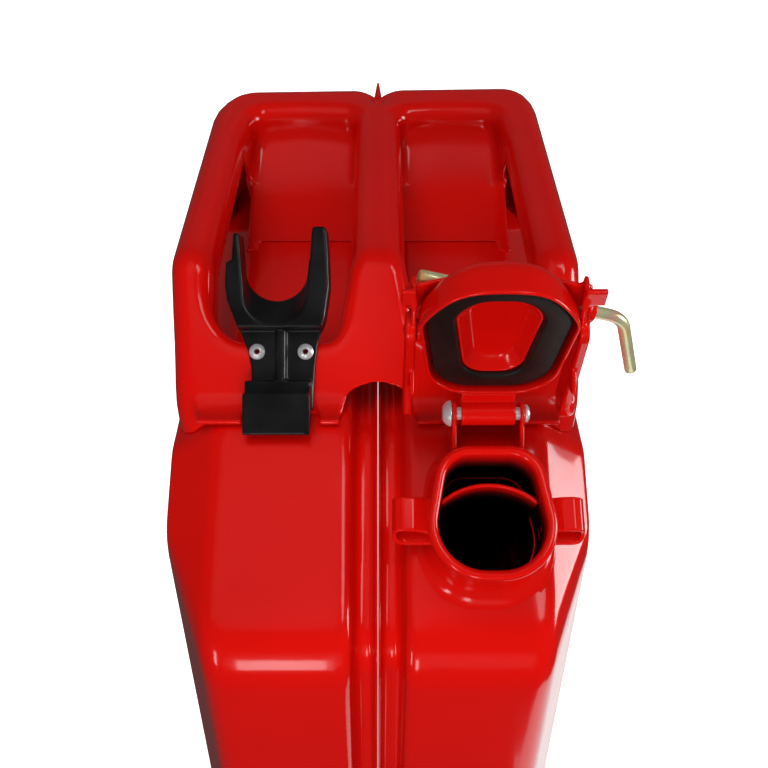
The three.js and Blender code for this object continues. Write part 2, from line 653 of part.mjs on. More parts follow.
// ---- lock pin: its frame has +X along the shaft, the origin at the lever arm ----
function lockPin() {
  const bendStart = new THREE.Vector3(PIN_BEND_REACH, 0, 0);
  const legWay = new THREE.Vector3(Math.cos(PIN_LEG_ANGLE), Math.sin(PIN_LEG_ANGLE), 0);
  const corner = new THREE.Vector3(PIN_BEND_REACH + PIN_BEND, 0, 0);
  const bendEnd = corner.clone().addScaledVector(legWay, PIN_BEND);
  const path = new THREE.CurvePath();
  path.add(new THREE.LineCurve3(new THREE.Vector3(-PIN_INSIDE, 0, 0), bendStart));
  path.add(new THREE.QuadraticBezierCurve3(bendStart, corner, bendEnd));
  path.add(new THREE.LineCurve3(bendEnd, bendEnd.clone().addScaledVector(legWay, PIN_LEG)));
  const shape = new THREE.Shape().absarc(0, 0, PIN_RADIUS, 0, 2 * Math.PI);
  return toSolid(new THREE.ExtrudeGeometry(shape, { steps: 40, curveSegments: 6, extrudePath: path }));
}

function guideBush() {
  const inner = PIN_RADIUS + FIT;
  const { from, flange, flangeHeight, boss, height } = BUSH;
  const profile = pairs([
    [inner, from],
    [flange, from],
    [flange, from + flangeHeight],
    [boss, from + flangeHeight + 0.6],
    [boss, from + height],
    [inner, from + height],
    [inner, from],
  ]);
  return toSolid(new THREE.LatheGeometry(profile, 20).rotateZ(-Math.PI / 2));
}

// ---- assembly ----
const can = new THREE.Group();
can.position.x = SEAM_X;
const closure = new THREE.Group();
const shoulderRise = BODY_TOP - (SHOULDER_START - NECK_Y) * Math.tan(SHOULDER_ANGLE);
closure.position.set(NECK_X, NECK_Y, shoulderRise);
closure.rotation.x = SHOULDER_ANGLE;
closure.updateMatrix();

const shell = bodyShell();
const spoutBore = prismZ(neckOutline(LIP_OVERHANG + NECK_SHEET), -30, 10).transform(closure.matrix.elements);
can.add(toMesh("body_half_left", bodyHalf(shell, -1), paint));
can.add(toMesh("body_half_right", bodyHalf(shell, 1).subtract(spoutBore), paint));
can.add(toMesh("carry_handle", handle(), paint));

closure.add(toMesh("spout_neck", neck(), paint));
closure.add(toMesh("vent_baffle", ventBaffle(), paint));
closure.add(toMesh("breather_tube", breatherTube(), steel));
closure.add(toMesh("ear_left", earLoop(-1), paint));
closure.add(toMesh("ear_right", earLoop(1), paint));
closure.add(toMesh("hinge_bracket", hingeBracket(), paint));
closure.add(toMesh("hinge_pin", hingePin(), steel));

const lid = new THREE.Group();
lid.position.set(0, HINGE_Y, HINGE_Z);
lid.rotation.x = -LID_OPEN_ANGLE;
lid.add(toMesh("lid_shell", lidShell(), paint));
lid.add(toMesh("lid_hinge_strap", lidStrap(), paint));
lid.add(toMesh("lid_gasket", gasket(), rubber));
lid.add(toMesh("gasket_retainer", gasketRetainer(), paint));
lid.add(toMesh("lever_pivot_left", leverPivot(-1), paint));
lid.add(toMesh("lever_pivot_right", leverPivot(1), paint));
lid.add(toMesh("clamp_lever", clampLever(), paint));
closure.add(lid);

const pinFrame = new THREE.Group();
pinFrame.position.set(PIN_AT.x, -PIN_AT.t, PIN_AT.h);
pinFrame.rotation.z = PIN_TILT;
pinFrame.add(toMesh("lock_pin", lockPin(), yellowZinc));
pinFrame.add(toMesh("pin_guide_bush", guideBush(), paint));
lid.add(pinFrame);
can.add(closure);

const clipFrame = new THREE.Group();
clipFrame.position.set(CLIP_X, HANDLE_NEAR - NEAR_LEG_RUN, BODY_TOP);
clipFrame.rotation.x = LEG_ANGLE;
clipFrame.add(toMesh("spout_holder_clip", spoutClip(), plastic));
for (const [name, side] of [["clip_rivet_left", -1], ["clip_rivet_right", 1]]) {
  const rivet = toMesh(name, blindRivet(), steel);
  rivet.position.set((side * RIVET_SPACING) / 2, RIVET_V, 0);
  clipFrame.add(rivet);
}
can.add(clipFrame);

export default can;
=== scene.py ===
"""Studio view of a pressed-steel fuel can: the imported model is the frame; visible pieces are built here."""

import json
import math

import bpy
import numpy as np
import openvdb as vdb
from mathutils import Matrix, Vector


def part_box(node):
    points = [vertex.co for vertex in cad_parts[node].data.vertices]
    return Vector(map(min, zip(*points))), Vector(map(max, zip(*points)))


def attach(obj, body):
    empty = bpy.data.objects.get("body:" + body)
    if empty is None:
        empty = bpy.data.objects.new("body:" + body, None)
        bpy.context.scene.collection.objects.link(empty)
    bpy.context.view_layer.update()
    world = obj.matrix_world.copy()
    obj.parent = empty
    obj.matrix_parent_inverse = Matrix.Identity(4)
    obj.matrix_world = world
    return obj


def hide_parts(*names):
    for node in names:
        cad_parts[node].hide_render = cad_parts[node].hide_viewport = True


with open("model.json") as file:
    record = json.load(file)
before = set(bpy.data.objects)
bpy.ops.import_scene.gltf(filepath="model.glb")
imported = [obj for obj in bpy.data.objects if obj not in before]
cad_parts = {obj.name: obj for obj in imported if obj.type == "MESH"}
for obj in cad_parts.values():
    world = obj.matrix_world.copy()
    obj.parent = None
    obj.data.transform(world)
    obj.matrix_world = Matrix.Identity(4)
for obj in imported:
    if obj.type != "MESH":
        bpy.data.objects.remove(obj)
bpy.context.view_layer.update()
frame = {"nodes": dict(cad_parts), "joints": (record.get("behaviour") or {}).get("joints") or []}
JOINTS = {joint["name"]: joint for joint in frame["joints"]}
MM = 0.001

# ---- dimensions in millimetres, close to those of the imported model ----
LENGTH, THICKNESS, BODY_TOP = 345.0, 165.0, 424.0
HALF_LENGTH, HALF_THICKNESS = LENGTH / 2, THICKNESS / 2
SHOULDER_START = -93.5
SLOPE = math.radians(30)
SHOULDER_END = BODY_TOP - (HALF_LENGTH + SHOULDER_START) * math.tan(SLOPE)
BOTTOM_RADIUS, REAR_RADIUS, SHOULDER_RADIUS = 30.0, 30.0, 28.0
BEVEL_START, END_BEVEL, TOP_BEVEL, SHOULDER_BEVEL = 62.5, 49.5, 16.0, 14.0
SHEET, FIT = 1.2, 0.3
EDGE_SPACING, CORNER_STEPS = 9.0, 12
FACE_MIDDLE, CROSS_MIDDLE, CROSS_DEPTH = 205.0, 200, 3.4
SEAM_DEPTH = 9.0
FIN_HALF, FIN_RECESS = 1.15, 1.6

HANDLE_HALF, HANDLE_TOP, HANDLE_NEAR, HANDLE_FAR = 81.0, 470.0, -46.8, 121.0
LEG_RUN, FAR_RUN = 42.9, 20.0
LEG_ANGLE = math.atan2(HANDLE_TOP - BODY_TOP, LEG_RUN)

NECK_CORNERS = [(-26.8, -22.0), (26.8, -22.0), (17.6, 25.8), (-17.6, 25.8)]
NECK_RADII = [20.0, 20.0, 13.0, 13.0]
BORE_INSET = 4.2
HINGE_Y, HINGE_Z = 38.6, 26.5
LID_OPEN = math.radians(103.5)
LID_CORNERS = [(-28.7, -65.5), (28.7, -65.5), (21.3, -8.7), (-21.3, -8.7)]
LID_RADII = [18.0, 18.0, 16.5, 16.5]
DISH_CORNERS = [(-15.9, -58.0), (15.9, -58.0), (9.8, -18.0), (-9.8, -18.0)]
DISH_FLOOR = [(-9.4, -53.5), (9.4, -53.5), (5.6, -23.5), (-5.6, -23.5)]
LID_LIP, LID_TOP = 2.5, 13.5
LEVER_PIVOT_Y, LEVER_PIVOT_Z = -38, 9
PIN_AT = (27.8, -35.1, 20.6)
PIN_TILT = math.radians(17.4)
NECK_X, CLIP_X = 39.5, -37.5
RIVET_X, RIVET_Y = 9.4, 24.4
SIDES = (("left", -1), ("right", 1))

# ---- frames of the sub-assemblies, in millimetres ----
hinge = Vector(JOINTS["lid_hinge"]["pos_m"]) / MM
body_low, body_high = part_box("body_half_left")[0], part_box("body_half_right")[1]
SEAM_X = (body_low[0] + body_high[0]) / 2 / MM
CAN_FRAME = Matrix.Translation((SEAM_X, 0, 0))
SHOULDER_FRAME = Matrix.Translation(hinge) @ Matrix.Rotation(SLOPE, 4, "X") @ Matrix.Translation(
    (0, -HINGE_Y, -HINGE_Z)
)
LID_FRAME = Matrix.Translation(hinge) @ Matrix.Rotation(SLOPE - LID_OPEN, 4, "X")
PIN_FRAME = LID_FRAME @ Matrix.Translation(PIN_AT) @ Matrix.Rotation(PIN_TILT, 4, "Z")
LEG_FOOT = Matrix.Translation((SEAM_X + CLIP_X, HANDLE_NEAR - LEG_RUN, BODY_TOP))
LEG_FRAME = LEG_FOOT @ Matrix.Rotation(LEG_ANGLE, 4, "X")


# ---- outlines and distance fields ----
def corner_arcs(corners, radii, inset=0.0, steps=8):
    """One arc of points for each rounded corner of an anticlockwise convex polygon moved inwards by inset."""
    points = [np.array(c, float) for c in corners]
    count = len(points)
    arcs = []
    for i, corner in enumerate(points):
        arriving = corner - points[i - 1]
        arriving /= np.linalg.norm(arriving)
        leaving = points[(i + 1) % count] - corner
        leaving /= np.linalg.norm(leaving)
        left = np.array([-arriving[1], arriving[0]])
        right = np.array([-leaving[1], leaving[0]])
        moved = corner + (left + right) * inset / (1 + left @ right)
        radius = max((radii[i] if isinstance(radii, list) else radii) - inset, 0.5)
        turn = math.acos(max(-1.0, min(1.0, arriving @ leaving)))
        centre = moved - arriving * radius * math.tan(turn / 2) + left * radius
        first = math.atan2(-left[1], -left[0])
        angles = first + turn * np.linspace(0, 1, steps + 1)
        arcs.append(centre + radius * np.stack([np.cos(angles), np.sin(angles)], 1))
    return arcs


def outline(corners, radii, inset=0.0, steps=8):
    """An anticlockwise convex polygon moved inwards by inset, its corners rounded."""
    return np.concatenate(corner_arcs(corners, radii, inset, steps))


def split_outline(arcs, pieces):
    """Rounded corners joined by straight edges, each edge split into its number of pieces."""
    rows = []
    for i, (arc, parts) in enumerate(zip(arcs, pieces)):
        share = np.linspace(0, 1, parts + 1)[1:-1, None]
        rows += [arc, arc[-1] + (arcs[(i + 1) % len(arcs)][0] - arc[-1]) * share]
    return np.concatenate(rows)


def polygon(u, v, points):
    """Signed distance from (u, v) to a closed polygon, negative inside."""
    nearest, sign = None, None
    for i in range(len(points)):
        ax, ay = points[i - 1]
        bx, by = points[i]
        ex, ey = bx - ax, by - ay
        wx, wy = u - ax, v - ay
        share = np.clip((wx * ex + wy * ey) / max(ex * ex + ey * ey, 1e-9), 0, 1)
        reach = (wx - ex * share) ** 2 + (wy - ey * share) ** 2
        nearest = reach if nearest is None else np.minimum(nearest, reach)
        above, below, leftward = v >= ay, v < by, ex * wy > ey * wx
        crossing = (above & below & leftward) | (~above & ~below & ~leftward)
        sign = np.where(crossing, -1.0, 1.0) if sign is None else np.where(crossing, -sign, sign)
    return sign * np.sqrt(nearest)


def polyline(u, v, points):
    """Distance from (u, v) to an open chain of segments."""
    nearest = None
    for (ax, ay), (bx, by) in zip(points, points[1:]):
        ex, ey = bx - ax, by - ay
        wx, wy = u - ax, v - ay
        share = np.clip((wx * ex + wy * ey) / (ex * ex + ey * ey), 0, 1)
        reach = (wx - ex * share) ** 2 + (wy - ey * share) ** 2
        nearest = reach if nearest is None else np.minimum(nearest, reach)
    return np.sqrt(nearest)


def slab(w, low, high):
    """Signed distance to the layer between low and high."""
    return np.abs(w - (low + high) / 2) - (high - low) / 2


def both(a, b, radius=0.0):
    """Where a and b overlap, with a rounded edge."""
    outside = np.hypot(np.maximum(a + radius, 0), np.maximum(b + radius, 0))
    return outside + np.minimum(np.maximum(a, b) + radius, 0) - radius


def joined(a, b, fillet=0.0):
    """a and b together, with a fillet where they meet."""
    if fillet <= 0:
        return np.minimum(a, b)
    share = np.clip(0.5 + 0.5 * (b - a) / fillet, 0, 1)
    return b * (1 - share) + a * share - fillet * share * (1 - share)


def cut(a, b, fillet=0.0):
    """a with b taken away."""
    return -joined(-a, b, fillet)


def smooth(value):
    """0 below 0 and 1 above 1, with an even S between."""
    value = np.clip(value, 0, 1)
    return value * value * (3 - 2 * value)


def bend(a, b, c, share):
    """A point on the curve from a to c that is drawn towards b."""
    return (1 - share) ** 2 * a + 2 * share * (1 - share) * b + share ** 2 * c


def block(x, y, z, low, high, radius=0.5):
    """A box with rounded edges."""
    sides = [slab(axis, low[i], high[i]) + radius for i, axis in enumerate((x, y, z))]
    outside = np.sqrt(sum(np.maximum(side, 0) ** 2 for side in sides))
    return outside + np.minimum(np.maximum(np.maximum(sides[0], sides[1]), sides[2]), 0) - radius


def rod(u, v, w, centre, radius, low, high, edge=0.4):
    """A cylinder along w."""
    return both(np.hypot(u - centre[0], v - centre[1]) - radius, slab(w, low, high), edge)


# ---- mesh makers ----
def new_object(name, points, faces, material, body, slot, nodes=(), place=Matrix.Identity(4)):
    """A smooth-shaded mesh from millimetre points; faces is a list of lists, or an array of quads."""
    spots = np.asarray(points, float) @ np.array(place.to_3x3()).T + np.array(place.translation)
    mesh = bpy.data.meshes.new(name)
    if isinstance(faces, np.ndarray):
        mesh.vertices.add(len(spots))
        mesh.vertices.foreach_set("co", (spots * MM).astype(np.float32).ravel())
        mesh.loops.add(faces.size)
        mesh.loops.foreach_set("vertex_index", faces.astype(np.int32).ravel())
        mesh.polygons.add(len(faces))
        mesh.polygons.foreach_set("loop_start", np.arange(0, faces.size, 4, dtype=np.int32))
        mesh.update(calc_edges=True)
        mesh.validate()
    else:
        mesh.from_pydata((spots * MM).tolist(), [], faces)
    mesh.polygons.foreach_set("use_smooth", [True] * len(mesh.polygons))
    mesh.materials.append(material)
    piece = bpy.data.objects.new(name, mesh)
    bpy.context.scene.collection.objects.link(piece)
    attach(piece, body)
    if nodes:
        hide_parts(*nodes)
    return piece


def carve(name, field, low, high, voxel, **rest):
    """Meshes the zero surface of a distance field, sampled in the box from low to high."""
    band = 3 * voxel
    axes = [np.arange(a - 2 * voxel, b + band, voxel, dtype=np.float32) for a, b in zip(low, high)]
    x, y, z = axes[0][:, None, None], axes[1][None, :, None], axes[2][None, None, :]
    values = np.broadcast_to(field(x, y, z), [len(axis) for axis in axes])
    grid = vdb.FloatGrid(band)
    grid.copyFromArray(np.ascontiguousarray(np.clip(values, -band, band), dtype=np.float32))
    points, quads = grid.convertToQuads()
    points = points.astype(float) * voxel + np.array([axis[0] for axis in axes])
    a, b, c, d = (points[quads[:, i]] for i in range(4))
    volume = sum(np.einsum("ij,ij->i", a, np.cross(p, q)).sum() for p, q in ((b, c), (c, d)))
    if volume < 0:
        quads = quads[:, ::-1]
    return new_object(name, points, np.ascontiguousarray(quads), **rest)


def at_height(flat, height):
    return np.column_stack([flat, np.full(len(flat), height)])


def loft(rings, closed=False, cap_start=False, cap_end=False):
    """Quads between rings of equal length; each ring is a closed loop."""
    count = len(rings[0])
    points = np.concatenate(rings)
    faces = []
    spans = len(rings) if closed else len(rings) - 1
    for k in range(spans):
        here, there = k * count, ((k + 1) % len(rings)) * count
        for i in range(count):
            j = (i + 1) % count
            faces.append([here + i, here + j, there + j, there + i])
    if cap_start:
        faces.append(list(range(count))[::-1])
    if cap_end:
        faces.append([(len(rings) - 1) * count + i for i in range(count)])
    return points, faces


# ---- materials ----
def node_material(name):
    material = bpy.data.materials.new(name)
    material.use_nodes = True
    nodes, links = material.node_tree.nodes, material.node_tree.links
    shader = nodes["Principled BSDF"]
    place = nodes.new("ShaderNodeTexCoord").outputs["Object"]
    return material, nodes, links, shader, place


def noise(nodes, links, place, scale, detail, roughness=0.5):
    texture = nodes.new("ShaderNodeTexNoise")
    texture.inputs["Scale"].default_value = scale
    texture.inputs["Detail"].default_value = detail
    texture.inputs["Roughness"].default_value = roughness
    links.new(place, texture.inputs["Vector"])
    return texture.outputs["Fac"]


def ramp(nodes, links, value, stops):
    node = nodes.new("ShaderNodeValToRGB")
    elements = node.color_ramp.elements
    while len(elements) < len(stops):
        elements.new(0.5)
    for element, (at, colour) in zip(elements, stops):
        element.position = at
        element.color = (*colour, 1.0)
    links.new(value, node.inputs["Fac"])
    return node.outputs["Color"]


def spread(nodes, links, value, low, high):
    """Stretches a value from 0 to 1 over low to high."""
    node = nodes.new("ShaderNodeMapRange")
    node.inputs["To Min"].default_value = low
    node.inputs["To Max"].default_value = high
    links.new(value, node.inputs["Value"])
    return node.outputs["Result"]


def bump(nodes, links, height, strength, distance, shader, under=None):
    node = nodes.new("ShaderNodeBump")
    node.inputs["Strength"].default_value = strength
    node.inputs["Distance"].default_value = distance
    links.new(height, node.inputs["Height"])
    if under is not None:
        links.new(under, node.inputs["Normal"])
    links.new(node.outputs["Normal"], shader.inputs["Normal"])
    return node.outputs["Normal"]


def red_paint():
    material, nodes, links, shader, place = node_material("red_paint")
    tone = noise(nodes, links, place, 9.0, 4.0)
    links.new(
        ramp(nodes, links, tone, [(0.3, (0.60, 0.0030, 0.0014)), (0.7, (0.68, 0.0040, 0.0018))]),
        shader.inputs["Base Color"],
    )
    haze = noise(nodes, links, place, 35.0, 5.0)
    links.new(spread(nodes, links, haze, 0.10, 0.20), shader.inputs["Roughness"])
    shader.inputs["Specular IOR Level"].default_value = 0.30
    shader.inputs["Coat Weight"].default_value = 0.4
    shader.inputs["Coat Roughness"].default_value = 0.04
    peel = noise(nodes, links, place, 420.0, 2.0)
    first = bump(nodes, links, peel, 0.05, 0.0004, shader)
    ripple = noise(nodes, links, place, 45.0, 1.0)
    bump(nodes, links, ripple, 0.06, 0.001, shader, first)
    return material


def clip_plastic():
    material, nodes, links, shader, place = node_material("clip_plastic")
    tone = noise(nodes, links, place, 60.0, 5.0)
    links.new(
        ramp(nodes, links, tone, [(0.35, (0.003, 0.003, 0.0035)), (0.75, (0.010, 0.010, 0.011))]),
        shader.inputs["Base Color"],
    )
    scuff = noise(nodes, links, place, 180.0, 6.0, 0.7)
    links.new(spread(nodes, links, scuff, 0.22, 0.42), shader.inputs["Roughness"])
    grain = noise(nodes, links, place, 1600.0, 2.0)
    bump(nodes, links, grain, 0.12, 0.0002, shader)
    return material


def gasket_rubber():
    material, nodes, links, shader, place = node_material("gasket_rubber")
    tone = noise(nodes, links, place, 90.0, 4.0)
    links.new(
        ramp(nodes, links, tone, [(0.3, (0.003, 0.003, 0.0025)), (0.8, (0.009, 0.0085, 0.007))]),
        shader.inputs["Base Color"],
    )
    dust = noise(nodes, links, place, 260.0, 6.0, 0.7)
    links.new(spread(nodes, links, dust, 0.32, 0.62), shader.inputs["Roughness"])
    bump(nodes, links, noise(nodes, links, place, 900.0, 3.0), 0.1, 0.0002, shader)
    return material


def zinc_yellow():
    material, nodes, links, shader, place = node_material("zinc_yellow")
    film = noise(nodes, links, place, 70.0, 2.0)
    links.new(
        ramp(
            nodes, links, film,
            [(0.25, (0.85, 0.56, 0.22)), (0.42, (0.86, 0.78, 0.44)), (0.58, (0.70, 0.76, 0.46)),
             (0.75, (0.86, 0.50, 0.36))],
        ),
        shader.inputs["Base Color"],
    )
    shader.inputs["Metallic"].default_value = 0.6
    wear = noise(nodes, links, place, 300.0, 4.0)
    links.new(spread(nodes, links, wear, 0.16, 0.34), shader.inputs["Roughness"])
    bump(nodes, links, noise(nodes, links, place, 700.0, 3.0), 0.08, 0.0002, shader)
    return material


def rivet_steel():
    material, nodes, links, shader, place = node_material("rivet_steel")
    tone = noise(nodes, links, place, 400.0, 4.0)
    links.new(
        ramp(nodes, links, tone, [(0.3, (0.66, 0.67, 0.68)), (0.7, (0.84, 0.85, 0.86))]),
        shader.inputs["Base Color"],
    )
    shader.inputs["Metallic"].default_value = 0.6
    links.new(spread(nodes, links, tone, 0.22, 0.42), shader.inputs["Roughness"])
    bump(nodes, links, noise(nodes, links, place, 1500.0, 2.0), 0.1, 0.0001, shader)
    return material


def paint_with_painted_shade(name, top, bottom):
    """Red paint with painted shade: it darkens to near black down inside the neck, between two heights above
    the shoulder.
    """
    material, nodes, links, shader, place = node_material(name)
    up = (SHOULDER_FRAME.to_3x3() @ Vector((0, 0, 1))).normalized()
    along = nodes.new("ShaderNodeVectorMath")
    along.operation = "DOT_PRODUCT"
    along.inputs[1].default_value = up
    links.new(place, along.inputs[0])
    base = SHOULDER_FRAME.translation.dot(up)
    height = nodes.new("ShaderNodeMapRange")
    height.inputs["From Min"].default_value = (base + bottom) * MM
    height.inputs["From Max"].default_value = (base + top) * MM
    links.new(along.outputs["Value"], height.inputs["Value"])
    wobble = nodes.new("ShaderNodeMath")
    wobble.operation = "MULTIPLY_ADD"
    wobble.inputs[1].default_value = 0.16
    links.new(noise(nodes, links, place, 60.0, 4.0), wobble.inputs[0])
    links.new(height.outputs["Result"], wobble.inputs[2])
    # Painted shade: near black low in the neck, dark red halfway, full red at the top height.
    stops = [(0.08, (0.003, 0.002, 0.002)), (0.5, (0.07, 0.002, 0.002)), (1.0, (0.62, 0.0035, 0.0016))]
    links.new(ramp(nodes, links, wobble.outputs["Value"], stops), shader.inputs["Base Color"])
    links.new(spread(nodes, links, height.outputs["Result"], 0.6, 0.16), shader.inputs["Roughness"])
    shader.inputs["Specular IOR Level"].default_value = 0.25
    return material


def tube_steel():
    """Dull, nearly black steel with a blotchy tone for the tube down inside the neck."""
    material, nodes, links, shader, place = node_material("tube_steel")
    blotch = noise(nodes, links, place, 120.0, 4.0)
    links.new(
        ramp(nodes, links, blotch, [(0.3, (0.006, 0.003, 0.003)), (0.7, (0.02, 0.012, 0.01))]),
        shader.inputs["Base Color"],
    )
    links.new(spread(nodes, links, blotch, 0.6, 0.85), shader.inputs["Roughness"])
    shader.inputs["Specular IOR Level"].default_value = 0.1
    return material


PAINT, PLASTIC, RUBBER = red_paint(), clip_plastic(), gasket_rubber()
ZINC, STEEL = zinc_yellow(), rivet_steel()


# ---- body halves ----
def cross_press(y, z):
    """Depth of the stiffening cross pressed in the large faces."""
    depth = np.zeros_like(y)
    for lean in (-1, 1):
        angle = lean * (math.pi / 2 - math.atan2(235, 160))
        along = (z - CROSS_MIDDLE) * math.cos(angle) - y * math.sin(angle)
        across = y * math.cos(angle) + (z - CROSS_MIDDLE) * math.sin(angle)
        inside = both(np.abs(across) - 17, np.abs(along) - 160, 15)
        depth = np.maximum(depth, smooth(-inside / 9))
    return CROSS_DEPTH * depth


BODY_CORNERS = [
    (-HALF_LENGTH, 0),
    (HALF_LENGTH, 0),
    (HALF_LENGTH, BODY_TOP),
    (SHOULDER_START, BODY_TOP),
    (-HALF_LENGTH, SHOULDER_END),
]
BODY_RADII = [BOTTOM_RADIUS, BOTTOM_RADIUS, REAR_RADIUS, SHOULDER_RADIUS, SHOULDER_RADIUS]
EDGE_PIECES = [
    max(2, round(math.dist(corner, following) / EDGE_SPACING))
    for corner, following in zip(BODY_CORNERS, BODY_CORNERS[1:] + BODY_CORNERS[:1])
]


def body_outline(inset):
    return split_outline(corner_arcs(BODY_CORNERS, BODY_RADII, inset, CORNER_STEPS), EDGE_PIECES)


def shoulder_height(y):
    """The upper edge of the flat large face along the sloping shoulder."""
    return BODY_TOP - (SHOULDER_START - y) * math.tan(SLOPE) - SHOULDER_BEVEL / math.cos(SLOPE)


def face_outline():
    """The edge of the flat large face, matched point for point to body_outline."""
    low, high = TOP_BEVEL, BODY_TOP - TOP_BEVEL
    near, far = -HALF_LENGTH + END_BEVEL, HALF_LENGTH - END_BEVEL
    start = SHOULDER_START + (high - shoulder_height(SHOULDER_START)) / math.tan(SLOPE)
    corners = [(near, low), (far, low), (far, high), (start, high), (near, shoulder_height(near))]
    return split_outline(corner_arcs(corners, [14.0, 14.0, 20.0, 14.0, 14.0], 0, CORNER_STEPS), EDGE_PIECES)


def upright(flat, x):
    """An outline stood up in the plane at x."""
    return np.column_stack([np.full(len(flat), x), flat])


def body_half(name, side):
    """The wall's cross-section runs from the seam fin out to the large face and back inside."""
    seam_outside = [
        (FIN_RECESS, FIT / 2), (FIN_RECESS + 0.05, 0.55), (FIN_RECESS + 0.35, 0.95),
        (FIN_RECESS + 1.0, FIN_HALF),
        (4.5, FIN_HALF), (6.4, 1.25), (7.7, 1.6), (8.6, 2.3), (SEAM_DEPTH, 3.4), (SEAM_DEPTH, 4.8),
        (8.9, 6.0), (8.5, 7.2), (7.7, 8.1), (6.5, 8.7), (4.8, 9.1), (3.2, 9.5), (1.9, 10.1),
        (0.95, 11.0), (0.33, 12.2), (0.05, 13.8), (0.0, 15.8), (0.0, 22.0), (0.0, 36.0), (0.0, 50.0),
    ]
    seam_inside = [
        (SHEET, 50.0), (SHEET, 22.0), (SHEET, 15.8), (2.4, 12.4), (4.8, 10.6), (7.6, 9.9),
        (SEAM_DEPTH + SHEET, 7.6), (SEAM_DEPTH + SHEET, 3.2), (SEAM_DEPTH + SHEET, FIT / 2), (6.0, FIT / 2),
    ]
    rings = [upright(body_outline(inset), side * x) for inset, x in seam_outside]
    bevel = []
    for share in np.linspace(0.05, 1, 7):
        bevel.append((bend(0, 0, 0.16, share), bend(55, BEVEL_START, 65.6, share)))
    bevel += [(0.35, 69.4), (0.55, 73.4), (0.72, 76.7)]
    for share in np.linspace(0.0, 1, 6):
        outwards = bend(79.3, HALF_THICKNESS - 0.1, HALF_THICKNESS, share)
        bevel.append((bend(0.85, 0.97, 1.12, share), outwards))
    centre = np.array([0.0, FACE_MIDDLE])
    outer_edge, outer_face = body_outline(0), face_outline()
    for share, x in bevel:
        if share <= 1:
            flat = outer_edge + (outer_face - outer_edge) * share
        else:
            flat = outer_face + (centre - outer_face) * (share - 1) * 0.3
        rings.append(upright(flat, side * x))
    first = (bevel[-1][0] - 1) * 0.3
    for share in np.linspace(first, 0.99, 34)[1:]:
        flat = outer_face + (centre - outer_face) * share
        rings.append(np.column_stack([side * (HALF_THICKNESS - cross_press(flat[:, 0], flat[:, 1])), flat]))
    outer_points, outer_faces = loft(rings, cap_end=True)
    inner = []
    for share in np.linspace(0.98, first, 22):
        flat = outer_face + (centre - outer_face) * share
        press = cross_press(flat[:, 0], flat[:, 1])
        inner.append(np.column_stack([side * (HALF_THICKNESS - SHEET - press), flat]))
    inner_edge = body_outline(SHEET)
    for share, x in bevel[::-1]:
        if share <= 1:
            inner.append(upright(inner_edge + (outer_face - inner_edge) * share, side * (x - SHEET * 0.9)))
    inner += [upright(body_outline(inset), side * x) for inset, x in seam_inside]
    inner_points, inner_faces = loft(inner, cap_start=True)
    count, shift = len(rings[0]), len(outer_points)
    faces = outer_faces + [[v + shift for v in face] for face in inner_faces]
    last = shift + (len(inner) - 1) * count
    for i in range(count):
        j = (i + 1) % count
        faces.append([last + i, last + j, j, i])
    if side > 0:
        faces = [face[::-1] for face in faces]
    points = np.concatenate([outer_points, inner_points])
    node = name.replace("_shell", "")
    return new_object(name, points, faces, PAINT, "can", "red_paint", (node,), CAN_FRAME)


body_half("body_half_left_shell", -1)
right_half = body_half("body_half_right_shell", 1)


def neck_ring(inset, steps=8):
    return outline(NECK_CORNERS, NECK_RADII, inset, steps)


def open_spout_bore(piece):
    """Cuts the hole under the neck out of the right half, as a boolean applied to its mesh."""
    flat = neck_ring(BORE_INSET)
    points, faces = loft([at_height(flat, -22.0), at_height(flat, 8.0)], cap_start=True, cap_end=True)
    cutter = new_object("bore_cutter", points, faces, PAINT, "can", "red_paint", (), SHOULDER_FRAME)
    modifier = piece.modifiers.new("bore", "BOOLEAN")
    modifier.operation = "DIFFERENCE"
    modifier.solver = "EXACT"
    modifier.object = cutter
    graph = bpy.context.evaluated_depsgraph_get()
    made = bpy.data.meshes.new_from_object(piece.evaluated_get(graph))
    piece.modifiers.clear()
    piece.data = made
    bpy.data.objects.remove(cutter)


open_spout_bore(right_half)


# ---- handle ----
def body_drop(x):
    """How far the can's top falls away below BODY_TOP towards the large faces."""
    outwards = [55, 60, 65.6, 69.4, 73.4, 76.7, 79.3, 82.4]
    return np.interp(np.abs(x), outwards, [0, 0.6, 2.6, 5.6, 8.8, 11.5, 13.6, 15.5])


